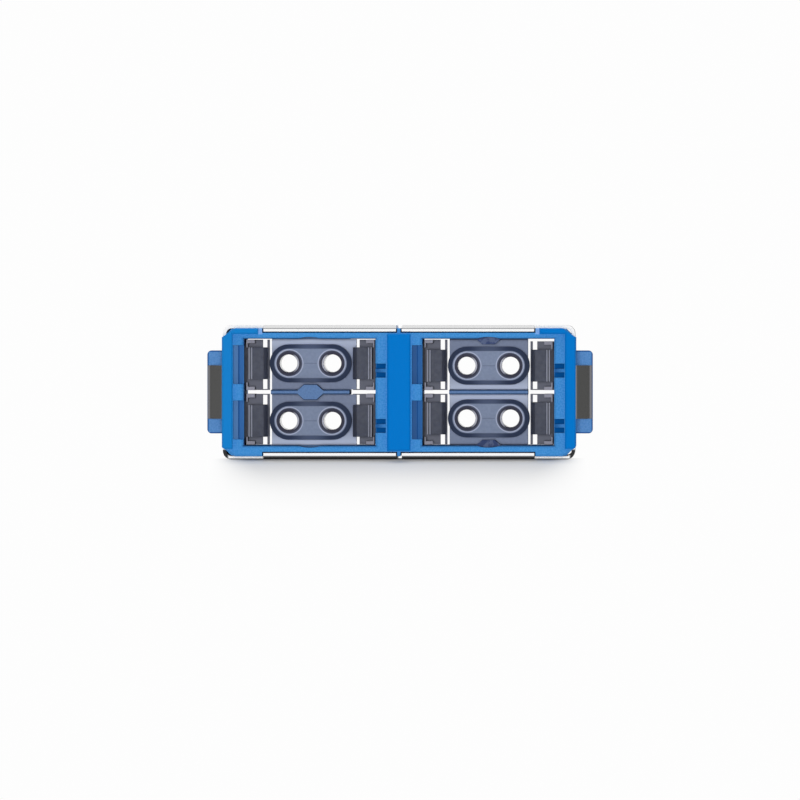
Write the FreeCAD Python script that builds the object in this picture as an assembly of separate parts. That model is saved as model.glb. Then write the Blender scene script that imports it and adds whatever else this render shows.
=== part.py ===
import FreeCAD, Part
import math
import os

os.makedirs("parts", exist_ok=True)
V = FreeCAD.Vector

# Fibre optic adapter with four duplex channels, two columns of two.
# Sizes are in millimetres. X runs across, Y from the front to the rear, Z up.
# It is drawn about its centre and lifted at the end, so that it rests on Z = 0.

# Moulded body
BODY_L = 25.2
SIDE_WALL = 1.52
CENTRE_WALL = 3.29
ROOF_WALL = 0.75
LIP_L = 1.2
LIP_CORNER_X = 0.92
LIP_CORNER_Z = 0.64
LIP_EDGE = 0.12
STRIP_RAISE = 0.5
STRIP_SET = 0.53
STRIP_EDGE = 0.1
STRIP_MARGIN = 0.04
BAR_MARGIN = 0.1
BAR_SET = 0.39
PAD_H = 0.41
PAD_GAP = 0.36
EAR_REACH = 1.19
EAR_H = 5.88
EAR_T = 2.0
EAR_R = 0.3
EAR_ROOT = 0.12
PEG_SIDE = 0.42
PEG_H = 1.6
PEG_L = 0.8
PEG_Z = 2.2
PEG_FIT = 0.03

# Sheet clip around the body, in two halves
CLIP_T = 0.25
CLIP_FIT = 0.02
CLIP_R = 0.6
CLIP_PROUD = 0.22
CLIP_INSET = 0.05
CLIP_END_GAP = 0.1
SEAM_W = 0.4
TONGUE_INSET = 2.0
TONGUE_DROP = 0.21
TONGUE_FIT = 0.08
TONGUE_JOGGLE_L = 0.4
TONGUE_SIDE_FIT = 0.08
TONGUE_BACK = 0.04
TAB_H = 3.78
TAB_L = 5.5
TAB_FLARE = 1.04
TAB_KICK = 0.14
TAB_KICK_L = 0.45
TAB_SLIT = 0.15
PANEL_GAP = 2.1
EAR_WINDOW_FIT = 0.1

# Port columns
MOUTH_W = 9.31
MOUTH_H = 7.54
MOUTH_EDGE = 0.14
PORT_PITCH = 3.9
BLADE_T = 0.32
BLADE_NOSE = 0.25
BLADE_AHEAD = 2.0
WEB_SIDE = 0.23
WEB_T = 1.0
KEY_BASE_W = 1.78
KEY_TOP_W = 0.9
KEY_H = 0.39
KEY_SHIFT = 0.084
KEY_GAP = 0.05
CROWN_W = 1.75
CROWN_D = 0.14
RECESS_D = 0.72
RECESS_H = 2.74
RECESS_STEP_D = 0.36
RECESS_STEP_L = 0.9
RECESS_WALL = 0.6
SLOT_D = 0.72
SLOT_H = 0.98
SLOT_DROP = 0.42
SLOT_RIB_T = 0.26
SLOT_RIB_SET = 0.5
RELIEF_D = 0.72
RELIEF_H = 2.6
RELIEF_PLAY = 0.8

# Ferrule sleeves and their holders
FERRULE_PITCH = 3.1
SLEEVE_OD = 1.62
SLEEVE_ID = 1.251
SLEEVE_L = 10.1
SLEEVE_SLOT_W = 0.25
SLEEVE_PLAY = 0.03
SLEEVE_END_PLAY = 0.1
HOLDER_LIP_T = 0.2
HOLDER_LIP_FIT = 0.005
HOLDER_SINK_R = 0.86
PLATE_SIDE = 0.02
PLATE_COVER = 0.45
PLATE_T = 0.8
PLATE_FIT = 0.02
BOSS_R = 1.34
BOSS_TIP_R = 1.03
BOSS_BEVEL_L = 0.38
SPIGOT_WALL = 0.14
SPIGOT_FIT = 0.02
SPIGOT_GAP = 0.01

# Latch hooks
LATCH_FIT = 0.03
LATCH_BASE_W = 1.68
LATCH_BASE_T = 1.2
LATCH_SPACING = 0.27
LATCH_PLAY = 0.06
LATCH_AHEAD = 2.6
LATCH_CUT = 0.12
LATCH_EDGE = 0.17
LATCH_END = 0.07
LATCH_BRIDGE_SIDE = 0.1
LATCH_WINDOW_W = 0.31
ARM_SET = 0.25
ARM_T = 0.3
ARM_H = 2.25
NOSE_REACH = 1.06
NOSE_SHELF_W = 0.78
NOSE_SHELF_L = 0.5
NOSE_RAMP_L = 1.25
NOSE_LAND = 0.2
NOSE_UNDERCUT = 0.1
ARM_TIP_EDGE = 0.1
RAIL_SET = 0.1
RAIL_W = 0.59
RAIL_T = 0.25
RAIL_LEG_T = 0.09
RAIL_LEG_H = 0.3
RAIL_SHORT = 1.6
FOOT_H = 3.16
FOOT_L = 2.1
FOOT_FIT = 0.02

# Places that follow from the sizes
EPS = 0.1
COLUMN_PITCH = MOUTH_W + CENTRE_WALL
BODY_W = COLUMN_PITCH + MOUTH_W + 2 * SIDE_WALL
BODY_H = MOUTH_H + 2 * ROOF_WALL
BAR_H = BODY_H - 2 * BAR_SET
BAR_W = CENTRE_WALL - 2 * (RECESS_D + BAR_MARGIN)
END_STRIP_W = SIDE_WALL - RECESS_D - STRIP_MARGIN
PEG_W = CENTRE_WALL - 2 * (RELIEF_D + PEG_SIDE)
TONGUE_W = BODY_W / 2 - LIP_CORNER_X - TONGUE_INSET - SEAM_W / 2
FRONT_Y = -BODY_L / 2
FACE_Y = FRONT_Y + STRIP_RAISE
LIP_BACK_Y = FACE_Y + LIP_L
CLIP_END_Y = LIP_BACK_Y + CLIP_END_GAP
CLIP_X = BODY_W / 2 - CLIP_INSET
CLIP_Z = BODY_H / 2 + CLIP_PROUD
CORE_X = CLIP_X - CLIP_T - CLIP_FIT
CORE_Z = CLIP_Z - CLIP_T - CLIP_FIT
WALL_X = MOUTH_W / 2
ROOF_Z = MOUTH_H / 2
BLADE_Z = BLADE_T / 2
PORT_H = ROOF_Z - BLADE_Z
PORT_Z = (ROOF_Z + BLADE_Z) / 2
PLATE_FRONT_Y = -(WEB_T + PLATE_T)
CHAMBER_END_Y = -(SLEEVE_L / 2 + SLEEVE_END_PLAY)
BOSS_TIP_Y = CHAMBER_END_Y - HOLDER_LIP_T
BLADE_FRONT_Y = BOSS_TIP_Y - BLADE_AHEAD
LATCH_TIP_Y = BOSS_TIP_Y - LATCH_AHEAD
RELIEF_FRONT_Y = LATCH_TIP_Y - RELIEF_PLAY
RECESS_FLOOR_Y = RELIEF_FRONT_Y - RECESS_WALL
LATCH_IN_Z = LATCH_SPACING / 2
LATCH_OUT_Z = ROOF_Z - LATCH_PLAY
LATCH_Z = (LATCH_IN_Z + LATCH_OUT_Z) / 2
CHAMBER_R = SLEEVE_OD / 2 + SLEEVE_PLAY
HOLDER_LIP_R = SLEEVE_ID / 2 + HOLDER_LIP_FIT
SPIGOT_Z = CHAMBER_R + SPIGOT_WALL
SPIGOT_X = FERRULE_PITCH / 2 + SPIGOT_Z
WEB_W = 2 * (SPIGOT_X + SPIGOT_FIT + WEB_SIDE)
EAR_X = BODY_W / 2 + EAR_REACH
EAR_FRONT_Y = -EAR_T / 2
TAB_TIP_Y = EAR_FRONT_Y - PANEL_GAP
TAB_ROOT_Y = TAB_TIP_Y - TAB_L
LEFT = -COLUMN_PITCH / 2
RIGHT = COLUMN_PITCH / 2
UPPER = 1
LOWER = -1
CHANNELS = {"a": (LEFT, UPPER), "b": (LEFT, LOWER), "c": (RIGHT, UPPER), "d": (RIGHT, LOWER)}


def block(x0, x1, y0, y1, z0, z1):
    corner = V(min(x0, x1), min(y0, y1), min(z0, z1))
    return Part.makeBox(abs(x1 - x0), abs(y1 - y0), abs(z1 - z0), corner)


def face_of(points):
    return Part.Face(Part.makePolygon(points + [points[0]]))


def along_x(profile, x0, x1):
    """A bar along X from a profile of (y, z) points."""
    return face_of([V(x0, y, z) for y, z in profile]).extrude(V(x1 - x0, 0, 0))


def along_y(profile, y0, y1):
    """A bar along Y from a profile of (x, z) points."""
    return face_of([V(x, y0, z) for x, z in profile]).extrude(V(0, y1 - y0, 0))


def along_z(profile, z0, z1):
    """A bar along Z from a profile of (x, y) points."""
    return face_of([V(x, y, z0) for x, y in profile]).extrude(V(0, 0, z1 - z0))


def eight_sided(x, z, radius, y0, y1):
    """A bar along Y with eight flats, each at the radius."""
    reach = radius / math.cos(math.pi / 8)
    turns = [math.pi * (2 * i + 1) / 8 for i in range(8)]
    return along_y([(x + reach * math.cos(t), z + reach * math.sin(t)) for t in turns], y0, y1)


def rod(x, z, radius, y0, y1):
    return Part.makeCylinder(radius, y1 - y0, V(x, y0, z), V(0, 1, 0))


def edges_where(shape, test):
    """The straight edges whose two ends both pass the test."""
    return [e for e in shape.Edges if all(test(v.Point) for v in e.Vertexes)]


def long_edges(shape, test):
    """The edges along Y whose middle passes the test."""
    found = []
    for edge in shape.Edges:
        box = edge.BoundBox
        if box.YLength > 10 * (box.XLength + box.ZLength) and test(box.Center):
            found.append(edge)
    return found


def rounded_bar(half_w, half_h, radius, y0, y1):
    bar = block(-half_w, half_w, y0, y1, -half_h, half_h)
    return bar.makeFillet(radius, long_edges(bar, lambda p: True))


def stadium(x, y, z, radius):
    """The outline around one pair of ferrules, at depth y."""
    left = x - FERRULE_PITCH / 2
    right = x + FERRULE_PITCH / 2
    top_left = V(left, y, z + radius)
    top_right = V(right, y, z + radius)
    low_left = V(left, y, z - radius)
    low_right = V(right, y, z - radius)
    right_end = Part.Arc(top_right, V(right + radius, y, z), low_right).toShape()
    left_end = Part.Arc(low_left, V(left - radius, y, z), top_left).toShape()
    sides = [Part.makeLine(top_left, top_right), Part.makeLine(low_right, low_left)]
    return Part.Wire([sides[0], right_end, sides[1], left_end])


def stadium_bar(x, z, radius, y0, y1):
    return Part.Face(stadium(x, y0, z, radius)).extrude(V(0, y1 - y0, 0))


def mirrored_x(shape):
    return shape.mirror(V(0, 0, 0), V(1, 0, 0))


def mirrored_y(shape):
    return shape.mirror(V(0, 0, 0), V(0, 1, 0))


def turned(shape):
    """The same piece for the other end: half a turn about X."""
    piece = shape.copy()
    piece.rotate(V(0, 0, 0), V(1, 0, 0), 180)
    return piece


def bore_z(column, row):
    """The ferrules sit off the port's middle, away from its key."""
    away = KEY_SHIFT if column == LEFT else -KEY_SHIFT
    return row * (PORT_PITCH / 2 + away)


def ferrule_x(column):
    return [column - FERRULE_PITCH / 2, column + FERRULE_PITCH / 2]


# Housing half

def lip_outline():
    x = BODY_W / 2
    z = BODY_H / 2
    right = [(x, z - LIP_CORNER_Z), (x, LIP_CORNER_Z - z)]
    low = [(x - LIP_CORNER_X, -z), (LIP_CORNER_X - x, -z)]
    left = [(-x, LIP_CORNER_Z - z), (-x, z - LIP_CORNER_Z)]
    top = [(LIP_CORNER_X - x, z), (x - LIP_CORNER_X, z)]
    return right + low + left + top


def lip():
    bar = along_y(lip_outline(), FACE_Y, LIP_BACK_Y)
    rim = edges_where(bar, lambda p: abs(p.y - FACE_Y) < 1e-6)
    return bar.makeChamfer(LIP_EDGE, rim)


def strips():
    """The raised strips of the end face: a bar in the middle, and one at each end with a pad on top."""
    bar = block(-BAR_W / 2, BAR_W / 2, FRONT_Y, LIP_BACK_Y, -BAR_H / 2, BAR_H / 2)
    outer = BODY_W / 2
    top = BODY_H / 2
    pad_x = SEAM_W / 2 + TONGUE_W + PAD_GAP
    pad = block(pad_x, outer, FRONT_Y, LIP_BACK_Y, top - PAD_H, top)
    right = block(outer - END_STRIP_W, outer, FRONT_Y, LIP_BACK_Y, STRIP_SET - top, top)
    right = right.fuse(pad).common(along_y(lip_outline(), FRONT_Y, LIP_BACK_Y)).removeSplitter()
    bevelled = []
    for strip in (bar, right):
        rim = edges_where(strip, lambda p: abs(p.y - FRONT_Y) < 1e-6)
        bevelled.append(strip.makeChamfer(STRIP_EDGE, rim))
    return bevelled + [mirrored_x(bevelled[1])]


def ear():
    """The right ear: half the thickness of the flange that seats on the panel."""
    flange = block(CORE_X - EAR_ROOT, EAR_X, EAR_FRONT_Y, 0, -EAR_H / 2, EAR_H / 2)
    return flange.makeFillet(EAR_R, long_edges(flange, lambda p: p.x > CORE_X))


def key_bar(column, y0, y1):
    """The keys that set a plug's way up: on the blade in the left column, on the walls in the right one."""
    base = KEY_BASE_W / 2
    top = KEY_TOP_W / 2
    if column == LEFT:
        high = BLADE_Z + KEY_H
        side = [(base, BLADE_Z), (base, -BLADE_Z)]
        profile = [(-top, high), (top, high)] + side + [(top, -high), (-top, -high)]
        profile = profile + [(-base, -BLADE_Z), (-base, BLADE_Z)]
        return [along_y([(column + x, z) for x, z in profile], y0, y1)]
    low = ROOF_Z - KEY_H
    sunk = ROOF_Z + CROWN_D + EPS
    profile = [(-base, sunk), (-base, ROOF_Z), (-top, low), (top, low), (base, ROOF_Z), (base, sunk)]
    bars = []
    for row in (UPPER, LOWER):
        bars.append(along_y([(column + x, row * z) for x, z in profile], y0, y1))
    return bars


def column_inside(column):
    """What stands inside one column: the web across its middle, the blade between its rows and the keys."""
    x0 = column - WEB_W / 2
    x1 = column + WEB_W / 2
    web = block(x0, x1, -WEB_T, 0, -ROOF_Z - EPS, ROOF_Z + EPS)
    nose_y = BLADE_FRONT_Y + BLADE_NOSE
    nose_z = BLADE_Z / 2
    blade = along_x(
        [
            (-WEB_T / 2, BLADE_Z),
            (nose_y, BLADE_Z),
            (BLADE_FRONT_Y, nose_z),
            (BLADE_FRONT_Y, -nose_z),
            (nose_y, -BLADE_Z),
            (-WEB_T / 2, -BLADE_Z),
        ],
        x0,
        x1,
    )
    keys = key_bar(column, BLADE_FRONT_Y, PLATE_FRONT_Y - KEY_GAP)
    return [web, blade] + keys


def column_mouth(column):
    """The space of one column, with its bevelled mouth and the shallow crowns over its middle."""
    x0 = column - WALL_X
    x1 = column + WALL_X
    space = block(x0, x1, FRONT_Y - EPS, EPS, -ROOF_Z, ROOF_Z)
    rings = []
    for y, grow in ((FACE_Y - EPS, MOUTH_EDGE + EPS), (FACE_Y + MOUTH_EDGE, 0)):
        corners = [
            V(x0 - grow, y, -ROOF_Z - grow),
            V(x1 + grow, y, -ROOF_Z - grow),
            V(x1 + grow, y, ROOF_Z + grow),
            V(x0 - grow, y, ROOF_Z + grow),
        ]
        rings.append(Part.makePolygon(corners + [corners[0]]))
    cuts = [space, Part.makeLoft(rings, True, True)]
    radius = (CROWN_W * CROWN_W / 4 + CROWN_D * CROWN_D) / (2 * CROWN_D)
    for row in (UPPER, LOWER):
        z = row * (ROOF_Z + CROWN_D - radius)
        arc = rod(column, z, radius, FRONT_Y, PLATE_FRONT_Y)
        cap = block(x0, x1, FRONT_Y, PLATE_FRONT_Y, row * (ROOF_Z - EPS), row * (ROOF_Z + 1))
        cuts.append(arc.common(cap))
    return cuts


def wall_pockets(column, row):
    """Cuts in the side walls of one port: the open recess, the small slot and the room behind each latch."""
    left = column - WALL_X
    right = column + WALL_X
    front = FRONT_Y - EPS
    mid = row * PORT_PITCH / 2
    low = mid - RECESS_H / 2
    high = mid + RECESS_H / 2
    step = left - RECESS_STEP_D
    cuts = [
        block(step, left + EPS, front, RECESS_FLOOR_Y, low, high),
        block(left - RECESS_D, step + EPS, front, RECESS_FLOOR_Y - RECESS_STEP_L, low, high),
    ]
    slot_z = mid - SLOT_DROP
    low = slot_z - SLOT_H / 2
    high = slot_z + SLOT_H / 2
    slot = block(right - EPS, right + SLOT_D, front, RECESS_FLOOR_Y, low, high)
    rib_y = FACE_Y + SLOT_RIB_SET
    low = slot_z - SLOT_RIB_T / 2
    high = slot_z + SLOT_RIB_T / 2
    cuts.append(slot.cut(block(right, right + 2 * SLOT_D, rib_y, EPS, low, high)))
    for wall, way in ((left, -1), (right, 1)):
        inner = wall - way * EPS
        outer = wall + way * RELIEF_D
        low = mid - RELIEF_H / 2
        high = mid + RELIEF_H / 2
        cuts.append(block(inner, outer, RELIEF_FRONT_Y, EPS, low, high))
        low = row * LATCH_Z - FOOT_H / 2 - FOOT_FIT
        high = row * LATCH_Z + FOOT_H / 2 + FOOT_FIT
        cuts.append(block(inner, outer, -FOOT_L / 2 - FOOT_FIT, EPS, low, high))
    return cuts


def tongue_seats():
    """Shallow seats in the lip for the clip's four front tongues."""
    floor = CLIP_Z - TONGUE_DROP - CLIP_T - TONGUE_FIT
    x0 = SEAM_W / 2 - TONGUE_SIDE_FIT
    x1 = SEAM_W / 2 + TONGUE_W + TONGUE_SIDE_FIT
    back = CLIP_END_Y + TONGUE_JOGGLE_L / 2
    cuts = []
    for way in (-1, 1):
        for row in (UPPER, LOWER):
            cuts.append(
                block(way * x0, way * x1, FRONT_Y - EPS, back, row * floor, row * (CLIP_Z + EPS))
            )
    return cuts


def peg(z, grow, y0, y1):
    """The peg that lines up the two halves, or its socket where it grows by the clearance."""
    half_x = PEG_W / 2 + grow
    half_z = PEG_H / 2 + grow
    return block(-half_x, half_x, y0, y1, z - half_z, z + half_z)


def spigot(column, row, grow, y0, y1):
    """The square spigot of one sleeve holder, or its hole in the web."""
    half_x = SPIGOT_X + grow
    half_z = SPIGOT_Z + grow
    z = bore_z(column, row)
    return block(column - half_x, column + half_x, y0, y1, z - half_z, z + half_z)


def housing_half():
    core = block(-CORE_X, CORE_X, FACE_Y + LIP_L / 2, 0, -CORE_Z, CORE_Z)
    core = core.makeChamfer(CLIP_R - CLIP_T, long_edges(core, lambda p: True))
    body = lip().fuse([core] + strips() + [ear(), mirrored_x(ear())])
    cuts = tongue_seats()
    for column in (LEFT, RIGHT):
        cuts = cuts + column_mouth(column)
        for row in (UPPER, LOWER):
            cuts = cuts + wall_pockets(column, row)
    body = body.cut(cuts)
    inside = []
    for column in (LEFT, RIGHT):
        inside = inside + column_inside(column)
    body = body.fuse(inside)
    holes = [peg(-PEG_Z, PEG_FIT, -PEG_L - PEG_FIT, EPS)]
    for column, row in CHANNELS.values():
        holes.append(spigot(column, row, SPIGOT_FIT, -WEB_T - EPS, EPS))
    body = body.cut(holes)
    body = body.fuse(peg(PEG_Z, 0, -EPS, PEG_L))
    return body.removeSplitter()


# Sheet clip

def clip_tongue(row):
    """One joggled tongue of the left half, from the clip's front edge into the lip's seat."""
    step_y = CLIP_END_Y - TONGUE_JOGGLE_L
    tip_y = FACE_Y + TONGUE_BACK
    top = [
        (CLIP_END_Y + EPS, CLIP_Z),
        (CLIP_END_Y, CLIP_Z),
        (step_y, CLIP_Z - TONGUE_DROP),
        (tip_y, CLIP_Z - TONGUE_DROP),
    ]
    under = [(y, z - CLIP_T) for y, z in reversed(top)]
    profile = [(y, row * z) for y, z in top + under]
    return along_x(profile, -SEAM_W / 2 - TONGUE_W, -SEAM_W / 2)


def clip_tab():
    """The sprung tab of the left half: it flares out and turns up a little at its tip."""
    kick_y = TAB_TIP_Y - TAB_KICK_L
    out = [
        (CLIP_X, TAB_ROOT_Y - EPS),
        (CLIP_X, TAB_ROOT_Y),
        (CLIP_X + TAB_FLARE, kick_y),
        (CLIP_X + TAB_FLARE + TAB_KICK, TAB_TIP_Y),
    ]
    inner = [(x - CLIP_T, y) for x, y in reversed(out)]
    profile = [(-x, y) for x, y in out + inner]
    return along_z(profile, -TAB_H / 2, TAB_H / 2)


def clip_left():
    outer = rounded_bar(CLIP_X, CLIP_Z, CLIP_R, CLIP_END_Y, -CLIP_END_Y)
    inner = rounded_bar(
        CLIP_X - CLIP_T, CLIP_Z - CLIP_T, CLIP_R - CLIP_T, CLIP_END_Y - EPS, EPS - CLIP_END_Y
    )
    half = block(-CLIP_X - EPS, -SEAM_W / 2, CLIP_END_Y, -CLIP_END_Y, -CLIP_Z - EPS, CLIP_Z + EPS)
    sheet = outer.cut(inner).common(half)
    window_z = EAR_H / 2 + EAR_WINDOW_FIT
    window_y = -EAR_FRONT_Y + EAR_WINDOW_FIT
    slit_z = TAB_H / 2 + TAB_SLIT
    x0 = -CLIP_X - EPS
    x1 = -CLIP_X + CLIP_T + EPS
    windows = [
        block(x0, x1, TAB_TIP_Y, window_y, -window_z, window_z),
        block(x0, x1, TAB_ROOT_Y, TAB_TIP_Y + EPS, -slit_z, slit_z),
    ]
    sheet = sheet.cut(windows)
    extras = [clip_tab()]
    for row in (UPPER, LOWER):
        tongue = clip_tongue(row)
        extras = extras + [tongue, mirrored_y(tongue)]
    return sheet.fuse(extras).removeSplitter()


# Sleeves and their holders

def sleeve_holder(column, row):
    """The front half for one channel: plate on the web, bevelled boss, spigot in the web and two bores.

    The plates of the left column also cover the gap beside their right latch.
    """
    z = bore_z(column, row)
    plate_half = PORT_H / 2 - PLATE_FIT
    x0 = column - WEB_W / 2 + PLATE_SIDE
    x1 = column + WEB_W / 2 - PLATE_SIDE
    if column == LEFT:
        x1 = x1 + PLATE_COVER
    mid = row * PORT_Z
    plate = block(x0, x1, PLATE_FRONT_Y, -WEB_T, mid - plate_half, mid + plate_half)
    bevel_y = BOSS_TIP_Y + BOSS_BEVEL_L
    boss = stadium_bar(column, z, BOSS_R, bevel_y, PLATE_FRONT_Y + PLATE_T / 2)
    rings = [stadium(column, bevel_y, z, BOSS_R), stadium(column, BOSS_TIP_Y, z, BOSS_TIP_R)]
    tip = Part.makeLoft(rings, True, True)
    stub = spigot(column, row, 0, -WEB_T - PLATE_T / 2, -SPIGOT_GAP)
    body = plate.fuse([boss, tip, stub])
    cuts = []
    for x in ferrule_x(column):
        cuts.append(eight_sided(x, z, CHAMBER_R, CHAMBER_END_Y, EPS))
        mouth = V(x, BOSS_TIP_Y, z)
        cuts.append(Part.makeCone(HOLDER_SINK_R, HOLDER_LIP_R, HOLDER_LIP_T, mouth, V(0, 1, 0)))
    return body.cut(cuts).removeSplitter()


def split_sleeve(x, z):
    end = SLEEVE_L / 2
    tube = rod(x, z, SLEEVE_OD / 2, -end, end).cut(rod(x, z, SLEEVE_ID / 2, -end - EPS, end + EPS))
    half = SLEEVE_SLOT_W / 2
    return tube.cut(block(x - half, x + half, -end - EPS, end + EPS, z, z + SLEEVE_OD))


# Latch hooks

def latch_arm(z):
    """One springing arm with its hooked nose, drawn as a plan profile for the left side of a port."""
    outer = LATCH_FIT + ARM_SET - WALL_X
    inner = outer + ARM_T
    nose = inner + NOSE_REACH
    tip = LATCH_TIP_Y
    ramp_end = tip + NOSE_RAMP_L
    catch = ramp_end + NOSE_LAND
    profile = [
        (outer, 0),
        (outer, tip + ARM_TIP_EDGE),
        (outer + ARM_TIP_EDGE, tip),
        (inner - ARM_TIP_EDGE / 2, tip),
        (inner + ARM_TIP_EDGE / 2, tip + ARM_TIP_EDGE),
        (inner + NOSE_SHELF_W, tip + NOSE_SHELF_L),
        (nose, ramp_end),
        (nose, catch),
        (inner, catch + NOSE_UNDERCUT),
        (inner, 0),
    ]
    return along_z(profile, z - ARM_H / 2, z + ARM_H / 2)


def latch(column, row, side):
    """A double-ended latch: base with its two windows, foot in the wall, angled guard rails and two arms.

    The one at the upper right of the right column stops a little short of the roof.
    """
    outer = LATCH_FIT - WALL_X
    inner = outer + LATCH_BASE_W
    out_z = LATCH_OUT_Z
    if (column, row, side) == (RIGHT, UPPER, "right"):
        out_z = out_z - LATCH_CUT
    low = min(row * LATCH_IN_Z, row * out_z)
    high = max(row * LATCH_IN_Z, row * out_z)
    thick = LATCH_BASE_T / 2
    mid = row * LATCH_Z
    base = block(outer, inner, -thick, thick, low, high)
    hook_z = bore_z(column, row)
    bridge = ARM_H / 2 - LATCH_BRIDGE_SIDE
    window_x = inner - LATCH_EDGE
    inner_window = (row * (LATCH_IN_Z + LATCH_END), hook_z - row * bridge)
    outer_window = (hook_z + row * bridge, row * (LATCH_OUT_Z + EPS))
    windows = []
    for z0, z1 in (inner_window, outer_window):
        windows.append(block(window_x - LATCH_WINDOW_W, window_x, -thick - EPS, thick + EPS, z0, z1))
    base = base.cut(windows)
    foot_end = LATCH_FIT - WALL_X - RELIEF_D
    foot_z = FOOT_H / 2
    pieces = [block(foot_end, outer + EPS, -FOOT_L / 2, FOOT_L / 2, mid - foot_z, mid + foot_z)]
    arm = latch_arm(hook_z)
    rail_x = outer + RAIL_SET
    rail_y = LATCH_TIP_Y + RAIL_SHORT
    for end, way in ((low, 1), (high, -1)):
        face = end + way * RAIL_T
        pieces.append(block(rail_x, rail_x + RAIL_W, rail_y, -rail_y, end, face))
        pieces.append(block(rail_x, rail_x + RAIL_LEG_T, rail_y, -rail_y, end, face + way * RAIL_LEG_H))
    piece = base.fuse(pieces + [arm, mirrored_y(arm)]).removeSplitter()
    if side == "right":
        piece = mirrored_x(piece)
    piece.translate(V(column, 0, 0))
    return piece


# Assembly

parts = {}
front = housing_half()
parts["housing_front"] = front
parts["housing_rear"] = turned(front)
parts["panel_clip_left"] = clip_left()
parts["panel_clip_right"] = mirrored_x(parts["panel_clip_left"])
for name, (column, row) in CHANNELS.items():
    parts["sleeve_holder_front_" + name] = sleeve_holder(column, row)
    parts["sleeve_holder_rear_" + name] = turned(sleeve_holder(column, -row))
    for side, x in zip(("left", "right"), ferrule_x(column)):
        parts["sleeve_" + name + "_" + side] = split_sleeve(x, bore_z(column, row))
        parts["latch_" + name + "_" + side] = latch(column, row, side)

for name, shape in parts.items():
    placed = shape.copy()
    placed.translate(V(0, 0, CLIP_Z))
    if len(placed.Solids) != 1 or not placed.isValid():
        raise ValueError(name + " is not one sound solid")
    placed.Solids[0].exportStep("parts/" + name + ".step")
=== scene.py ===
import math

import bpy
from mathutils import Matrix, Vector

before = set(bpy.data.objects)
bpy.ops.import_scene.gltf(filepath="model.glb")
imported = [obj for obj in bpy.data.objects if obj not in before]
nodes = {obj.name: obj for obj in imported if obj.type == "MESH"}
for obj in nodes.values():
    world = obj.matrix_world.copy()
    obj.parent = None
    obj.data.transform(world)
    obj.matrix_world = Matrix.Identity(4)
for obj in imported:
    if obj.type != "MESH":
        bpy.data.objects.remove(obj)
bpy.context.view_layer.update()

MM = 0.001
X, Y, Z = range(3)


def lowest(name, axis):
    """Lowest place of a CAD piece along an axis, in millimetres."""
    return min(v.co[axis] for v in nodes[name].data.vertices) / MM


def highest(name, axis):
    """Highest place of a CAD piece along an axis, in millimetres."""
    return max(v.co[axis] for v in nodes[name].data.vertices) / MM


def middle(name, axis):
    """Middle of a CAD piece along an axis, in millimetres."""
    return (lowest(name, axis) + highest(name, axis)) / 2


# Front and mid height of the part, in millimetres
FRONT_Y = lowest("housing_front", Y)
MID_Z = middle("housing_front", Z)

# Places on the body that the finishes follow, as distances from the middle of the part
PORT_FACE_Y = 12.1
BODY_SIDE_X = 12.475
EAR_X = highest("housing_front", X)
EAR_Z = 2.94
EAR_FACE_Y = 1.0

# Places on the clip and its seats
SEAM_X = lowest("panel_clip_right", X)
TONGUE_TIP_Y = highest("panel_clip_right", Y)
TONGUE_END_X = 9.555
TONGUE_TOP_Z = 4.53
CLIP_END_Y = 10.8
UPPER_PLATE_Z = 4.4
BEND_X = 12.125
BEND_Z = 4.1
TAB_EDGE_X = 13.45
SEAT_BACK_Y = 10.4
SEAT_FLOOR_Z = 4.13

# Places in the ports, and how far the paint reaches into their side walls
COLUMN_X = (middle("sleeve_c_left", X) + middle("sleeve_c_right", X)) / 2
WALL_X = 4.655
ROOF_Z = 3.77
BLADE_FRONT_Y = 7.35
BLADE_Z = 0.16
WALL_PAINT_D = 1.35
RECESS_STEP = 0.36
POCKET_BACK_Y = 8.9
POCKET_FRONT_Y = 11.3
RIB_BACK_Y = 11.4
RIB_FRONT_Y = 11.75

# Keys
KEY_HALF_W = 0.89
KEY_TOP_HALF_W = 0.45
KEY_H = 0.39
KEY_TOP_Z = BLADE_Z + KEY_H
KEY_SLANT = (KEY_HALF_W - KEY_TOP_HALF_W) / KEY_H
KEY_REACH = KEY_HALF_W + KEY_SLANT * BLADE_Z
HALF_KEY_Z = 3.25

# Places on the sleeve holders
FERRULE_X = (middle("sleeve_c_right", X) - middle("sleeve_c_left", X)) / 2
ROW_SHIFT = (lowest("sleeve_a_left", Z) - lowest("sleeve_c_left", Z)) / 2
ROW_Z = 1.95
PLATE_Y = 1.8
BOSS_TIP_Y = -lowest("sleeve_holder_front_a", Y)
BOSS_FACE_R = 1.03
RING_X = 1.5
RING_R = 0.96
SINK_R = 0.86
SINK_FLOOR_Y = 5.15
BORE_RIM_R = 0.72

# Places on the latches, with X as the way in from a side wall
LATCH_TIP_Y = highest("latch_a_left", Y)
LATCH_BASE_Y = 0.6
NOSE_Y = 6.5
NOSE_X = 1.34
NOSE_END_X = 1.66
TIP_HIGHLIGHT_W = 0.05
RAIL_Y = 6.35
RAIL_X = 0.74

# Radius by which edges look rounded, and the softness of a mask that changes at zero
EDGE_R = 0.05
ZERO_SOFT = 0.1


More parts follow.
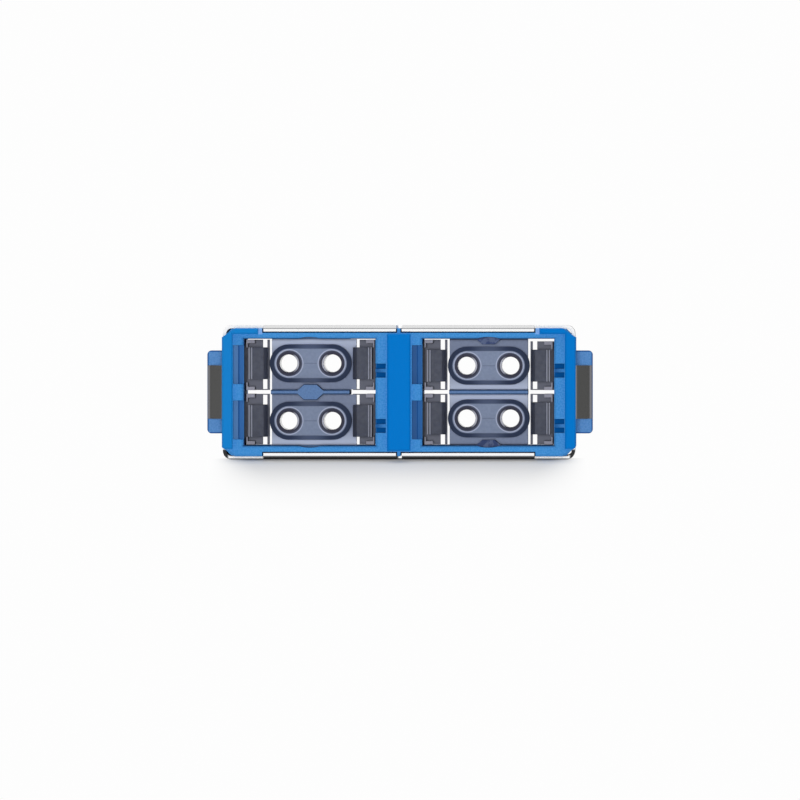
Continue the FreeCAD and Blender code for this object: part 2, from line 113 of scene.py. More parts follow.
class Nodes:
    """Short ways to build what feeds a shader in one node tree."""

    def __init__(self, tree):
        self.tree = tree

    def node(self, kind, **settings):
        made = self.tree.nodes.new(kind)
        for key, value in settings.items():
            setattr(made, key, value)
        return made

    def join(self, source, target):
        self.tree.links.new(source, target)

    def math(self, operation, first, second=None):
        made = self.node("ShaderNodeMath", operation=operation)
        for i, value in enumerate((first, second)):
            if value is None:
                continue
            if isinstance(value, (int, float)):
                made.inputs[i].default_value = value
            else:
                self.join(value, made.inputs[i])
        return made.outputs[0]

    def ramp(self, value, start, end):
        """0 before start, 1 after end."""
        made = self.node("ShaderNodeMapRange", interpolation_type="SMOOTHSTEP")
        self.join(value, made.inputs["Value"])
        made.inputs["From Min"].default_value = start
        made.inputs["From Max"].default_value = end
        return made.outputs["Result"]

    def below(self, value, start, end):
        """1 before start, 0 after end."""
        return self.math("SUBTRACT", 1.0, self.ramp(value, start, end))

    def positive(self, value):
        """1 above zero, 0 below it."""
        return self.ramp(value, -ZERO_SOFT, ZERO_SOFT)

    def negative(self, value):
        """1 below zero, 0 above it."""
        return self.below(value, -ZERO_SOFT, ZERO_SOFT)

    def both(self, first, *others):
        """The product of several masks."""
        for mask in others:
            first = self.math("MULTIPLY", first, mask)
        return first

    def band(self, value, start, end, soft):
        """1 between start and end, with soft edges outside."""
        return self.both(self.ramp(value, start - soft, start), self.below(value, end, end + soft))

    def length(self, first, second):
        """Length of a vector of two parts."""
        square = self.math("MULTIPLY", first, first)
        return self.math("SQRT", self.math("ADD", square, self.math("MULTIPLY", second, second)))

    def seen(self):
        """1 where a surface is looked at, straight or in a reflection, and 0 where it only gives light."""
        path = self.node("ShaderNodeLightPath").outputs
        direct = self.math("MAXIMUM", path["Is Camera Ray"], path["Is Glossy Ray"])
        return self.math("MAXIMUM", direct, path["Is Transmission Ray"])

    def millimetres(self, source):
        """A point in millimetres, and its three parts."""
        scaled = self.node("ShaderNodeVectorMath", operation="SCALE")
        self.join(source, scaled.inputs[0])
        scaled.inputs["Scale"].default_value = 1.0 / MM
        split = self.node("ShaderNodeSeparateXYZ")
        self.join(scaled.outputs["Vector"], split.inputs[0])
        return scaled.outputs["Vector"], split.outputs


class Surface(Nodes):
    """A material with one principled shader, painted coat over coat by the place on the part."""

    def __init__(self, name, color, roughness, specular=0.5, metallic=0.0):
        self.material = bpy.data.materials.new(name)
        self.material.use_nodes = True
        super().__init__(self.material.node_tree)
        self.shader = self.tree.nodes["Principled BSDF"]
        self.color = color
        self.set("Base Color", (*color, 1.0))
        self.set("Roughness", roughness)
        self.set("Specular IOR Level", specular)
        self.set("Metallic", metallic)
        # Place on the part
        self.point, axes = self.millimetres(self.node("ShaderNodeTexCoord").outputs["Object"])
        self.x = axes["X"]
        self.y = axes["Y"]
        self.z = self.math("SUBTRACT", axes["Z"], MID_Z)
        self.width = self.math("ABSOLUTE", self.x)
        self.depth = self.math("ABSOLUTE", self.y)
        self.height = self.math("ABSOLUTE", self.z)
        # Place in the nearer port column
        self.side = self.math("SIGN", self.x)
        self.across = self.math("SUBTRACT", self.x, self.math("MULTIPLY", self.side, COLUMN_X))
        self.aside = self.math("ABSOLUTE", self.across)
        self.from_wall = self.math("SUBTRACT", WALL_X, self.aside)

    def set(self, socket, value):
        self.shader.inputs[socket].default_value = value

    def feed(self, socket, value):
        self.join(value, self.shader.inputs[socket])

    def facing(self):
        """1 on surfaces that face the front or the rear, 0 on those along the part."""
        split = self.node("ShaderNodeSeparateXYZ")
        self.join(self.node("ShaderNodeTexCoord").outputs["Normal"], split.inputs[0])
        return self.math("ABSOLUTE", split.outputs["Y"])

    def mix(self, factor, first, second):
        """The first color where the factor is 0, the second where it is 1."""
        made = self.node("ShaderNodeMix", data_type="RGBA")
        self.join(factor, made.inputs[0])
        for socket, value in ((made.inputs[6], first), (made.inputs[7], second)):
            if isinstance(value, tuple):
                socket.default_value = (*value, 1.0)
            else:
                self.join(value, socket)
        return made.outputs[2]

    def coat(self, mask, color):
        """Cover what is painted so far, as far as the mask says."""
        self.color = self.mix(mask, self.color, color)

    def noise(self, scale, detail=2.0, stretch=None):
        """Noise over the part, drawn out along an axis where its stretch is below 1."""
        made = self.node("ShaderNodeTexNoise")
        point = self.point
        if stretch:
            mapping = self.node("ShaderNodeMapping")
            mapping.inputs["Scale"].default_value = stretch
            self.join(point, mapping.inputs["Vector"])
            point = mapping.outputs["Vector"]
        self.join(point, made.inputs["Vector"])
        made.inputs["Scale"].default_value = scale
        made.inputs["Detail"].default_value = detail
        return made.outputs["Fac"]

    def pattern(self, spread, scale, detail, stretch=None):
        """Noise drawn out to the range from 0 to 1, the sharper the smaller its spread is."""
        return self.ramp(self.noise(scale, detail, stretch), 0.5 - spread, 0.5 + spread)

    def grain(self, height, depth_mm, strength):
        """Fine relief, over edges that look slightly rounded."""
        soft = self.node("ShaderNodeBevel", samples=4)
        soft.inputs["Radius"].default_value = EDGE_R * MM
        bump = self.node("ShaderNodeBump")
        bump.inputs["Strength"].default_value = strength
        bump.inputs["Distance"].default_value = depth_mm * MM
        self.join(height, bump.inputs["Height"])
        self.join(soft.outputs["Normal"], bump.inputs["Normal"])
        self.feed("Normal", bump.outputs["Normal"])

    def finished(self):
        """The material with all its coats."""
        self.feed("Base Color", self.color)
        return self.material


# Blues of the housing, in pairs where a pattern or a step goes from one to the other
FACE_BLUES = ((0.042, 0.245, 0.60), (0.072, 0.293, 0.67))
# Painted haze greys the ears, and painted shade darkens their rim
EAR_HAZE_BLUES = ((0.09, 0.255, 0.56), (0.13, 0.31, 0.64))
EAR_RIM_SHADE_BLUE = (0.02, 0.09, 0.30)
# Painted shade greys the inside of the ports and darkens the key outline and the right half keys
INSIDE_SHADE_BLUES = ((0.138, 0.245, 0.46), (0.165, 0.285, 0.515))
KEY_SHADE_LINE_BLUE = (0.05, 0.085, 0.17)
HALF_KEY_SHADE_BLUES = ((0.06, 0.085, 0.19), (0.13, 0.165, 0.28))
# Painted shade darkens the recesses, the edges of their steps, the slots and their ribs
RECESS_SHADE_BLUES = ((0.10, 0.235, 0.48), (0.049, 0.178, 0.468))
RIGHT_RECESS_SHADE_BLUES = ((0.043, 0.13, 0.335), (0.039, 0.157, 0.425))
STEP_SHADE_BLUE = (0.02, 0.115, 0.36)
SLOT_SHADE_BLUE = (0.002, 0.10, 0.37)
RIB_SHADE_BLUE = (0.012, 0.09, 0.30)
# Painted shade on a line above and below each mouth
MOUTH_SHADE_BLUE = (0.02, 0.05, 0.13)
MOUTH_SHADE_STRENGTH = 0.7
# Painted shade on the seats of the tongues
SEAT_SHADE_BLUE = (0.008, 0.02, 0.06)
# Painted highlight beside the ends of the upper tongues
TONGUE_END_HIGHLIGHT_BLUE = (0.20, 0.40, 0.77)
# Deeper blue of the strips, and its paler copy at the left end, which is painted light
STRIP_AND_LIT_END_BLUES = ((0.0006, 0.178, 0.585), (0.008, 0.21, 0.592))
FACE_ROUGHNESS = 0.55
STRIP_POLISH = 0.3


def paint_ears(s, speckle):
    """Ears greyed by painted haze, with a painted shade rim round their front and rear faces."""
    on_ear = s.ramp(s.width, BODY_SIDE_X - 0.25, BODY_SIDE_X + 0.1)
    on_ear = s.both(on_ear, s.below(s.depth, EAR_FACE_Y + 1.0, EAR_FACE_Y + 3.0))
    s.coat(on_ear, s.mix(speckle, *EAR_HAZE_BLUES))
    end = s.ramp(s.width, EAR_X - 0.13, EAR_X - 0.05)
    rim = s.math("MAXIMUM", end, s.ramp(s.height, EAR_Z - 0.13, EAR_Z - 0.05))
    on_face = s.ramp(s.depth, EAR_FACE_Y - 0.12, EAR_FACE_Y - 0.06)
    s.coat(s.both(on_ear, rim, on_face), EAR_RIM_SHADE_BLUE)


def paint_keys(s, speckle, in_port):
    """Painted shade: greyer blades and keys inside the ports, a dark outline on the left key, and dark
    mottled patches on the right half keys.
    """
    inside = s.below(s.depth, BLADE_FRONT_Y + 0.25, BLADE_FRONT_Y + 0.85)
    inside = s.both(inside, s.below(s.width, BODY_SIDE_X - 0.9, BODY_SIDE_X - 0.7), in_port)
    s.coat(inside, s.mix(speckle, *INSIDE_SHADE_BLUES))
    slant = s.math("ADD", s.aside, s.math("MULTIPLY", s.height, KEY_SLANT))
    outline = s.ramp(slant, KEY_REACH - 0.08, KEY_REACH - 0.03)
    outline = s.math("MAXIMUM", outline, s.ramp(s.height, KEY_TOP_Z - 0.07, KEY_TOP_Z - 0.03))
    on_key = s.both(inside, s.negative(s.x), s.below(s.aside, KEY_HALF_W + 0.11, KEY_HALF_W + 0.16))
    on_key = s.both(on_key, s.band(s.height, BLADE_Z, KEY_TOP_Z, 0.02))
    s.coat(s.both(on_key, outline), KEY_SHADE_LINE_BLUE)
    half_keys = s.both(inside, s.positive(s.x), s.ramp(s.height, HALF_KEY_Z - 0.15, HALF_KEY_Z))
    half_keys = s.both(half_keys, s.below(s.aside, KEY_HALF_W + 0.06, KEY_HALF_W + 0.11))
    patches = s.pattern(spread=0.08, scale=3.2, detail=3.0)
    s.coat(half_keys, s.mix(patches, *HALF_KEY_SHADE_BLUES))


def paint_walls(s, in_port):
    """Stepped recesses in the left walls of the columns and ribbed slots in the right walls, darkened by
    painted shade.
    """
    in_wall = s.both(s.band(s.from_wall, -WALL_PAINT_D, -0.04, 0.03), in_port)
    pocket = s.both(s.band(s.depth, POCKET_BACK_Y, POCKET_FRONT_Y, 0.15), in_wall)
    recess = s.both(pocket, s.negative(s.across))
    step = s.ramp(s.from_wall, -RECESS_STEP - 0.02, -RECESS_STEP + 0.02)
    s.coat(recess, s.mix(step, *RECESS_SHADE_BLUES))
    edge = s.both(recess, s.band(s.from_wall, -RECESS_STEP - 0.03, -RECESS_STEP + 0.03, 0.02))
    s.coat(edge, STEP_SHADE_BLUE)
    # Painted shade: the right column's recess is dimmer, apart from the edge of its step
    at_right = s.both(recess, s.positive(s.x), s.below(edge, 0.3, 0.6))
    s.coat(at_right, s.mix(step, *RIGHT_RECESS_SHADE_BLUES))
    slot = s.both(s.positive(s.across), in_wall)
    s.coat(s.both(pocket, slot), SLOT_SHADE_BLUE)
    rib = s.both(slot, s.band(s.depth, RIB_BACK_Y, RIB_FRONT_Y, 0.1), s.ramp(s.from_wall, -0.9, 0.2))
    s.coat(rib, RIB_SHADE_BLUE)


def paint_mouths(s):
    """Painted shade: a dark line above and below each mouth."""
    line = s.both(s.band(s.height, ROOF_Z - 0.02, ROOF_Z + 0.05, 0.02), s.ramp(s.from_wall, -0.1, 0.0))
    line = s.both(line, s.ramp(s.depth, PORT_FACE_Y - 0.3, PORT_FACE_Y - 0.2))
    s.coat(s.math("MULTIPLY", line, MOUTH_SHADE_STRENGTH), MOUTH_SHADE_BLUE)


def paint_seats(s):
    """Painted shade on the seats of the clip's tongues, and a painted highlight on the face at the ends of
    the upper ones.
    """
    seat = s.band(s.depth, SEAT_BACK_Y, PORT_FACE_Y - 0.2, 0.05)
    seat = s.both(seat, s.band(s.height, SEAT_FLOOR_Z, TONGUE_TOP_Z + 0.01, 0.02))
    seat = s.both(seat, s.below(s.width, TONGUE_END_X + 0.1, TONGUE_END_X + 0.12))
    s.coat(seat, SEAT_SHADE_BLUE)
    tongue_end_highlight = s.band(s.width, TONGUE_END_X + 0.08, TONGUE_END_X + 0.36, 0.04)
    tongue_end_highlight = s.both(tongue_end_highlight, s.ramp(s.height, SEAT_FLOOR_Z - 0.08, SEAT_FLOOR_Z + 0.02))
    tongue_end_highlight = s.both(tongue_end_highlight, s.ramp(s.depth, PORT_FACE_Y - 0.2, PORT_FACE_Y - 0.1))
    # The rear half is turned over, so its painted highlight is on the lower edge
    s.coat(s.both(tongue_end_highlight, s.below(s.math("MULTIPLY", s.y, s.z), -1.0, 1.0)), TONGUE_END_HIGHLIGHT_BLUE)


def paint_strips(s):
    """Deeper blue on the raised strips and the centre bar, paler at the left end as painted light, and
    more polished.
    """
    on_strip = s.ramp(s.depth, PORT_FACE_Y + 0.12, PORT_FACE_Y + 0.22)
    lit_left_end = s.below(s.x, -TONGUE_END_X, 0.4 - TONGUE_END_X)
    s.coat(on_strip, s.mix(lit_left_end, *STRIP_AND_LIT_END_BLUES))
    polish = s.math("MULTIPLY", on_strip, STRIP_POLISH)
    s.feed("Roughness", s.math("SUBTRACT", FACE_ROUGHNESS, polish))


def blue_plastic():
    """Moulded blue: polished raised strips, paler spark-textured faces, greyer inside the ports as painted
    shade, and painted haze, shade and highlights by place.
    """
    s = Surface("blue_plastic", (0.05, 0.25, 0.61), roughness=0.5, specular=0.06)
    speckle = s.pattern(spread=0.15, scale=9.0, detail=3.0)
    s.color = s.mix(speckle, *FACE_BLUES)
    in_port = s.below(s.height, ROOF_Z + 0.1, ROOF_Z + 0.2)
    paint_ears(s, speckle)
    paint_keys(s, speckle, in_port)
    paint_walls(s, in_port)
    paint_mouths(s)
    paint_seats(s)
    paint_strips(s)
    s.grain(s.noise(scale=14.0), depth_mm=0.012, strength=0.35)
    return s.finished()


# Slate greys of the sleeve holders
BOSS_SLATES = ((0.262, 0.315, 0.445), (0.292, 0.35, 0.485))
PLATE_SLATES = ((0.29, 0.345, 0.50), (0.325, 0.385, 0.545))
# Painted light on the plate, and painted shade along its edge
PLATE_LIT_PALE = (0.70, 0.78, 0.98)
PLATE_EDGE_SHADE = (0.02, 0.03, 0.08)
PLATE_SHADE_STRENGTH = 0.5
PLATE_SHADE_CHANGE = 0.22
SHADE_SLATE = (0.09, 0.10, 0.15)
# Painted highlight ring round each bore
RING_HIGHLIGHT = (0.55, 0.60, 0.76)
PARTING_SLATE = (0.12, 0.14, 0.21)
PARTING_STRENGTH = 0.45
# Painted shade on the boss sides with a painted highlight in their middle, painted shade in the sinks, and
# a painted highlight crescent on their inward side
BOSS_SIDE_SHADE_AND_HIGHLIGHT = ((0.075, 0.10, 0.18), (0.18, 0.225, 0.36))
SINK_SHADE = (0.085, 0.085, 0.12)
BORE_RIM_HIGHLIGHT = (0.85, 0.86, 0.95)


def paint_plate(s, mottle):
    """Plate made paler away from the keys by painted light, with a painted shade edge at the roof and
    floor.
    """
    on_plate = s.below(s.depth, PLATE_Y + 0.02, PLATE_Y + 0.08)
    s.coat(on_plate, s.mix(mottle, *PLATE_SLATES))
    from_row = s.math("SUBTRACT", s.height, ROW_Z)
    away = s.math("MULTIPLY", from_row, s.math("MULTIPLY", s.side, -1.0))
    s.coat(s.both(on_plate, s.ramp(away, 0.2, ROOF_Z - ROW_Z)), PLATE_LIT_PALE)
    edge = s.both(on_plate, s.ramp(s.height, ROOF_Z - 0.12, ROOF_Z - 0.06))
    strength = s.math("ADD", s.math("MULTIPLY", s.side, PLATE_SHADE_CHANGE), PLATE_SHADE_STRENGTH)
    s.coat(s.both(edge, strength), PLATE_EDGE_SHADE)


def paint_boss(s):
    """Boss with painted highlight rings round the bores, a parting line between them, painted shade inside
    the rings, on the sides and in the sinks, a painted highlight along the middle of the sides, and a
    painted highlight crescent in each sink.
    """
    row = s.math("SUBTRACT", ROW_Z, s.math("MULTIPLY", s.side, ROW_SHIFT))
    off_row = s.math("SUBTRACT", s.height, row)
    past_ring = s.math("SUBTRACT", s.aside, RING_X)
    from_ring = s.length(off_row, past_ring)
    on_tip = s.ramp(s.depth, BOSS_TIP_Y - 0.06, BOSS_TIP_Y - 0.01)
    s.coat(s.both(on_tip, s.below(from_ring, SINK_R + 0.02, RING_R - 0.01)), SHADE_SLATE)
    s.coat(s.both(on_tip, s.band(from_ring, RING_R - 0.02, RING_R + 0.02, 0.03)), RING_HIGHLIGHT)
    parting = s.both(on_tip, s.below(s.math("ABSOLUTE", off_row), 0.02, 0.05))
    parting = s.both(parting, s.ramp(from_ring, RING_R + 0.08, RING_R + 0.12))
    s.coat(s.math("MULTIPLY", parting, PARTING_STRENGTH), PARTING_SLATE)
    from_line = s.length(off_row, s.math("MAXIMUM", past_ring, 0.0))
    on_side = s.ramp(from_line, BOSS_FACE_R, BOSS_FACE_R + 0.05)
    on_side = s.both(on_side, s.ramp(s.depth, PLATE_Y, PLATE_Y + 0.4))
    s.coat(on_side, s.mix(s.below(s.aside, 0.2, RING_X), *BOSS_SIDE_SHADE_AND_HIGHLIGHT))
    past_axis = s.math("SUBTRACT", s.aside, FERRULE_X)
    from_axis = s.length(off_row, past_axis)
    in_sink = s.below(from_axis, SINK_R - 0.04, SINK_R)
    in_sink = s.both(in_sink, s.ramp(s.depth, SINK_FLOOR_Y - 0.15, SINK_FLOOR_Y - 0.05))
    s.coat(in_sink, SINK_SHADE)
    inward = s.below(s.math("DIVIDE", past_axis, from_axis), -0.95, -0.35)
    s.coat(s.both(in_sink, inward, s.below(from_axis, BORE_RIM_R, BORE_RIM_R + 0.04)), BORE_RIM_HIGHLIGHT)


def slate_plastic():
    """Holders: mottled slate, with painted light on the plate, and painted shade and highlights on the
    double boss.
    """
    s = Surface("slate_plastic", (0.30, 0.34, 0.48), roughness=0.38, specular=0.35)
    mottle = s.pattern(spread=0.2, scale=5.0, detail=3.0)
    s.color = s.mix(mottle, *BOSS_SLATES)
    paint_plate(s, mottle)
    paint_boss(s)
    s.grain(s.noise(scale=10.0), depth_mm=0.01, strength=0.3)
    return s.finished()


# Dark greys of the latches, and the painted highlight lines on the hooks at their way in from the wall
LATCH_GREYS = ((0.093, 0.099, 0.125), (0.117, 0.123, 0.15))
# Painted shade across the nose, and painted light on the front of the base
NOSE_SHADE_GREYS = ((0.125, 0.13, 0.16), (0.056, 0.062, 0.09))
LATCH_BASE_LIT_GREY = (0.205, 0.215, 0.27)
TIP_HIGHLIGHT_LINES = {0.34: (0.60, 0.61, 0.68), 0.53: (0.40, 0.41, 0.47)}
RAIL_HIGHLIGHT_GREY = (0.40, 0.40, 0.475)


def dark_plastic():
    """Latches: dark grey, with painted highlights at the tips and at the ends of the guard rails, painted
    shade across the nose and painted light on the base front.
    """
    s = Surface("dark_plastic", (0.09, 0.095, 0.12), roughness=0.42, specular=0.35)
    flow = s.pattern(spread=0.2, scale=3.0, detail=3.0, stretch=(1.0, 0.35, 1.0))
    s.color = s.mix(flow, *LATCH_GREYS)
    # Painted shade, darker across the nose away from the wall
    on_nose = s.both(s.ramp(s.from_wall, NOSE_X, NOSE_X + 0.04), s.ramp(s.depth, NOSE_Y, NOSE_Y + 0.1))
    s.coat(on_nose, s.mix(s.ramp(s.from_wall, NOSE_X - 0.04, NOSE_END_X), *NOSE_SHADE_GREYS))
    # Painted light on the front of the latch base
    s.coat(s.below(s.depth, LATCH_BASE_Y + 0.05, LATCH_BASE_Y + 0.1), LATCH_BASE_LIT_GREY)
    # Painted highlight lines on the tips
    at_tip = s.ramp(s.depth, LATCH_TIP_Y - 0.2, LATCH_TIP_Y - 0.1)
    half_w = TIP_HIGHLIGHT_W / 2
    for place, grey in TIP_HIGHLIGHT_LINES.items():
        s.coat(s.both(s.band(s.from_wall, place - half_w, place + half_w, half_w), at_tip), grey)
    # Painted highlight on the ends of the guard rails
    on_rail = s.band(s.depth, RAIL_Y - 0.03, RAIL_Y + 0.05, 0.06)
    s.coat(s.both(on_rail, s.below(s.from_wall, RAIL_X, RAIL_X + 0.04)), RAIL_HIGHLIGHT_GREY)
    s.grain(s.noise(scale=12.0), depth_mm=0.01, strength=0.3)
    return s.finished()


# Greys of the steel clip, most of them painted highlights and shade
SHEET_GREYS = ((0.50, 0.50, 0.51), (0.60, 0.60, 0.61))
# Painted shade on the tabs, and a painted highlight on their turned-up edges
TAB_SHADE_GREYS = ((0.138, 0.138, 0.135), (0.168, 0.168, 0.164))
TAB_EDGE_HIGHLIGHT = (0.36, 0.36, 0.39)
# Painted light in the seam
SEAM_LIT_WHITE = (0.97, 0.97, 0.98)
# Painted highlights on the joggles, streaked, and on the square ends, and painted shade along the tongues
JOGGLE_HIGHLIGHT_GREYS = ((0.80, 0.80, 0.805), (0.97, 0.97, 0.972))
END_HIGHLIGHT_WHITE = (0.975, 0.975, 0.975)
TONGUE_SHADE_GREY = (0.32, 0.32, 0.335)
# Painted shade below the lower tongues, along the lowest edge and at the lower bends
UNDER_TONGUE_SHADE = (0.35, 0.35, 0.36)
EDGE_SHADE_GREY = (0.04, 0.04, 0.042)
STEEL_TINT = (0.3, 0.3, 0.3, 1.0)


def paint_clip_ends(s, lines):
    """Painted highlights on the front and rear ends, streaked on the joggles, with a painted shade line
    along each tongue.
    """
    facing = s.facing()
    at_end = s.both(s.ramp(s.depth, CLIP_END_Y - 0.06, CLIP_END_Y - 0.01), s.ramp(facing, 0.2, 0.4))
    s.coat(at_end, s.mix(s.ramp(facing, 0.6, 0.8), s.mix(lines, *JOGGLE_HIGHLIGHT_GREYS), END_HIGHLIGHT_WHITE))
    # Painted shade line along the top of each tongue tip
    at_tip = s.ramp(s.depth, TONGUE_TIP_Y - 0.06, TONGUE_TIP_Y - 0.02)
    s.coat(s.both(at_tip, s.ramp(s.height, TONGUE_TOP_Z - 0.08, TONGUE_TOP_Z - 0.04)), TONGUE_SHADE_GREY)
    # Painted shade: grey ends below the lower tongues, and dark lines along the lowest edge and at the
    # lower bends
    under = s.both(at_end, s.below(s.z, -TONGUE_TOP_Z - 0.01, -TONGUE_TOP_Z + 0.03))
    s.coat(s.both(under, s.below(s.width, TONGUE_END_X, TONGUE_END_X + 0.1)), UNDER_TONGUE_SHADE)
    at_bend = s.both(s.ramp(s.width, BEND_X - 0.15, BEND_X), s.below(s.z, -BEND_Z, -BEND_Z + 0.1))
    lowest_edge = s.below(s.z, -MID_Z + 0.05, -MID_Z + 0.09)
    s.coat(s.both(at_end, s.math("MAXIMUM", at_bend, lowest_edge)), EDGE_SHADE_GREY)


def spring_steel():
    """Rolled stainless sheet: painted highlights on the ends, painted shade on the sprung tabs, and
    painted highlights on their turned-up edges.
    """
    s = Surface("spring_steel", (0.72, 0.72, 0.74), roughness=0.24, metallic=1.0)
    s.set("Specular Tint", STEEL_TINT)
    lines = s.pattern(spread=0.25, scale=4.0, detail=4.0, stretch=(6.0, 0.25, 6.0))
    s.color = s.mix(lines, *SHEET_GREYS)
    # Painted shade on the sprung tabs
    s.coat(s.ramp(s.width, BODY_SIDE_X, BODY_SIDE_X + 0.12), s.mix(lines, *TAB_SHADE_GREYS))
    # Painted highlight on the tabs' turned-up edges
    s.coat(s.ramp(s.width, TAB_EDGE_X - 0.04, TAB_EDGE_X + 0.02), TAB_EDGE_HIGHLIGHT)
    # Painted light in the narrow upper seam: its cut edges are matte and pale
    in_seam = s.below(s.width, SEAM_X + 0.03, SEAM_X + 0.06)
    in_seam = s.both(in_seam, s.ramp(s.z, UPPER_PLATE_Z - 0.1, UPPER_PLATE_Z))
    s.coat(in_seam, SEAM_LIT_WHITE)
    s.feed("Metallic", s.math("SUBTRACT", 1.0, in_seam))
    paint_clip_ends(s, lines)
    s.grain(s.noise(scale=5.0, detail=3.0, stretch=(5.0, 0.3, 5.0)), depth_mm=0.004, strength=0.2)
    return s.finished()


# Whites of the sleeves
SLEEVE_WHITES = ((0.83, 0.83, 0.80), (0.89, 0.89, 0.87))


def zirconia():
    """Split sleeves: polished white ceramic."""
    s = Surface("zirconia", (0.86, 0.86, 0.83), roughness=0.14, specular=0.6)
    s.color = s.mix(s.pattern(spread=0.2, scale=2.0, detail=2.0), *SLEEVE_WHITES)
    s.grain(s.noise(scale=16.0), depth_mm=0.003, strength=0.15)
    return s.finished()


# Finishes by how a piece's name starts, the longer start first
FINISHES = {
    "housing": blue_plastic(),
    "panel_clip": spring_steel(),
    "sleeve_holder": slate_plastic(),
    "latch": dark_plastic(),
    "sleeve": zirconia(),
}


def finish_of(name):
    """The material for a piece."""
    for start, material in FINISHES.items():
        if name.startswith(start + "_"):
            return material
    raise ValueError(name)


for name, piece in nodes.items():
    piece.data.materials.clear()
    piece.data.materials.append(finish_of(name))


# Floor: level under the part, falling away gently in front of it and behind it
FLOOR_EDGE_Y = 11.5
FLOOR_SLOPE_DEG = 14.0
FLOOR_HALF_W = 3000.0
FLOOR_RUN = 800.0
FLOOR_GAP = 0.005
FLOOR_GREY = 0.8
WHITE = 0.985

# Shade on the floor: its ends, and how its white rises with the distance, as near, far and rise
SHADE_END_X = 10.5
SHADE_END_W = 2.8
SHADE_END_PULL = 0.33
SHADE_END_SPREAD = 0.37
GLOW_BASE = 0.05
GLOW_STEPS = ((0.8, 1.5, 0.13), (-1.5, 10.0, 0.62), (4.0, 16.0, 0.2))


def floor_white():
    """Matte near the part, where its shadow lies, and plain white further off."""
    material = bpy.data.materials.new("floor_white")
    material.use_nodes = True
    n = Nodes(material.node_tree)
    n.tree.nodes.clear()
    _, axes = n.millimetres(n.node("ShaderNodeNewGeometry").outputs["Position"])
    width = n.math("ABSOLUTE", axes["X"])
    ahead = n.math("MAXIMUM", n.math("SUBTRACT", n.math("ABSOLUTE", axes["Y"]), FLOOR_EDGE_Y), 0.0)
    # The shade narrows and its ends soften with the distance from the part
    end = n.math("SUBTRACT", SHADE_END_X, n.math("MULTIPLY", ahead, SHADE_END_PULL))
    spread = n.math("ADD", n.math("MULTIPLY", ahead, SHADE_END_SPREAD), SHADE_END_W)
    past_end = n.ramp(n.math("DIVIDE", n.math("SUBTRACT", width, end), spread), 0.0, 1.0)
    level = GLOW_BASE
    for near, far, rise in GLOW_STEPS:
        level = n.math("ADD", n.math("MULTIPLY", n.ramp(ahead, near, far), rise), level)
    shade = n.both(n.math("SUBTRACT", 1.0, level), n.math("SUBTRACT", 1.0, past_end))
    matte = n.node("ShaderNodeBsdfDiffuse")
    matte.inputs["Color"].default_value = (FLOOR_GREY, FLOOR_GREY, FLOOR_GREY, 1.0)
    white = n.node("ShaderNodeEmission")
    white.inputs["Strength"].default_value = WHITE
    mix = n.node("ShaderNodeMixShader")
    n.join(n.both(n.math("SUBTRACT", 1.0, shade), n.seen()), mix.inputs[0])
    n.join(matte.outputs[0], mix.inputs[1])
    n.join(white.outputs[0], mix.inputs[2])
    n.join(mix.outputs[0], n.node("ShaderNodeOutputMaterial").inputs["Surface"])
    return material


def stage_floor():
    """A floor of three strips, the middle one level."""
    drop = FLOOR_RUN * math.tan(math.radians(FLOOR_SLOPE_DEG))
    far = FLOOR_EDGE_Y + FLOOR_RUN
    corners = []
    for y, z in ((-far, -drop), (-FLOOR_EDGE_Y, 0.0), (FLOOR_EDGE_Y, 0.0), (far, -drop)):
        for x in (-FLOOR_HALF_W, FLOOR_HALF_W):
            corners.append(Vector((x, y, z - FLOOR_GAP)) * MM)
    mesh = bpy.data.meshes.new("floor")
    mesh.from_pydata(corners, [], [(i, i + 1, i + 3, i + 2) for i in (0, 2, 4)])
    mesh.materials.append(floor_white())
    floor = bpy.data.objects.new("floor", mesh)
    bpy.context.collection.objects.link(floor)


stage_floor()

# Level at which the world lights the part
WORLD_LIGHT = 0.25


def white_world():
    """A world that is white where it is seen and dimmer where it lights."""
    world = bpy.data.worlds.new("studio")
    bpy.context.scene.world = world
    world.use_nodes = True
    n = Nodes(world.node_tree)
    back = n.tree.nodes["Background"]
    back.inputs["Color"].default_value = (WHITE, WHITE, WHITE, 1.0)
    level = n.node("ShaderNodeMapRange")
    level.inputs["To Min"].default_value = WORLD_LIGHT
    level.inputs["To Max"].default_value = 1.0
    n.join(n.seen(), level.inputs["Value"])
    n.join(level.outputs["Result"], back.inputs["Strength"])


white_world()

# Lamps: small ones far off at both ends, which reach into the ports, and a wide one above
FILL_GAP = 1400.0
FILL_Z = 6.0
FILL_SIZE = (70.0, 70.0)
FILL_WATTS = 10.4
TOP_PLACE = (0.0, -20.0, 220.0)
TOP_AIM = (0.0, -5.0, 0.0)
TOP_SIZE = (330.0, 230.0)
TOP_WATTS = 0.324


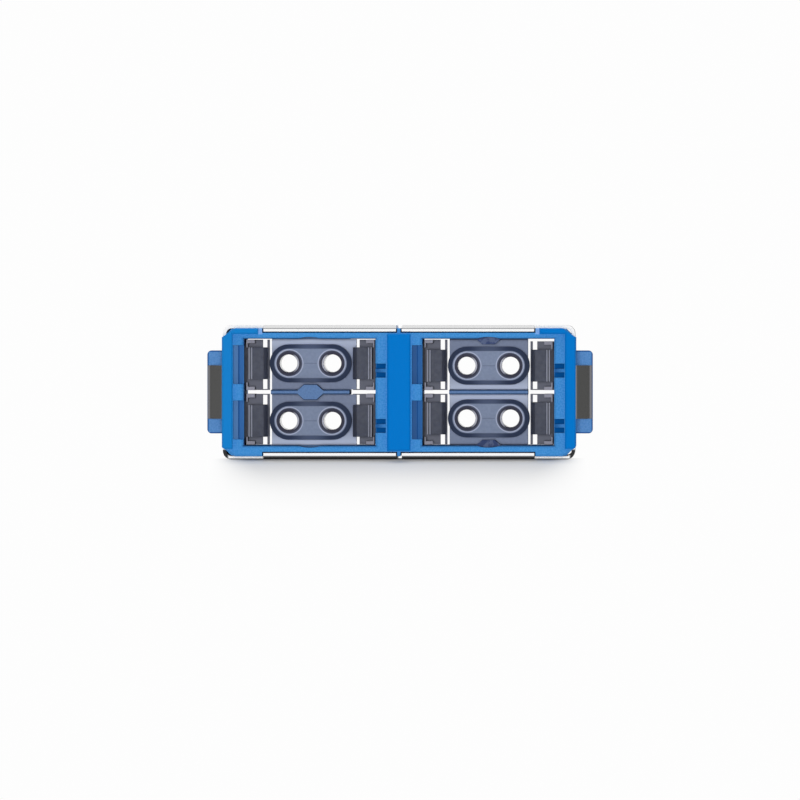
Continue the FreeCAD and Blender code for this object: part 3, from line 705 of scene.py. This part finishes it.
def area_lamp(name, place_mm, aim_mm, size_mm, watts):
    """A rectangular lamp that isn't seen itself, neither straight nor in a reflection."""
    lamp = bpy.data.lights.new(name, "AREA")
    lamp.shape = "RECTANGLE"
    lamp.size = size_mm[0] * MM
    lamp.size_y = size_mm[1] * MM
    lamp.energy = watts
    holder = bpy.data.objects.new(name, lamp)
    holder.location = Vector(place_mm) * MM
    holder.rotation_euler = (Vector(aim_mm) - Vector(place_mm)).to_track_quat("-Z", "Y").to_euler()
    holder.visible_camera = False
    holder.visible_glossy = False
    bpy.context.collection.objects.link(holder)


for name, y in (("front_fill", -FILL_GAP), ("rear_fill", FILL_GAP)):
    area_lamp(name, (0.0, y, FILL_Z), (0.0, 0.0, MID_Z), FILL_SIZE, FILL_WATTS)
area_lamp("top_box", TOP_PLACE, TOP_AIM, TOP_SIZE, TOP_WATTS)

# Camera: nearly level and far off, as in the photograph, and the pixel where the part's middle comes out
PIXELS = 800
PIXELS_PER_MM = 14.185
CENTRE_PIXEL = (398.75, 392.3)
CAMERA_GAP = 2000.0
CAMERA_ASIDE = 16.0
CAMERA_ABOVE = 4.7
SENSOR = 36.0
CLIP_NEAR_M = 0.05
CLIP_FAR_M = 10.0


def camera():
    """The camera of the main view."""
    data = bpy.data.cameras.new("camera")
    data.sensor_width = SENSOR
    data.lens = CAMERA_GAP * SENSOR * PIXELS_PER_MM / PIXELS
    data.clip_start = CLIP_NEAR_M
    data.clip_end = CLIP_FAR_M
    aside = (PIXELS / 2 - CENTRE_PIXEL[0]) / PIXELS_PER_MM
    below = (PIXELS / 2 - CENTRE_PIXEL[1]) / PIXELS_PER_MM
    aim = Vector((aside, FRONT_Y, MID_Z - below))
    made = bpy.data.objects.new("camera", data)
    made.location = Vector((CAMERA_ASIDE, FRONT_Y - CAMERA_GAP, MID_Z + CAMERA_ABOVE)) * MM
    made.rotation_euler = (aim * MM - made.location).to_track_quat("-Z", "Y").to_euler()
    bpy.context.collection.objects.link(made)
    bpy.context.scene.camera = made


camera()
bpy.context.scene.view_settings.view_transform = "Standard"
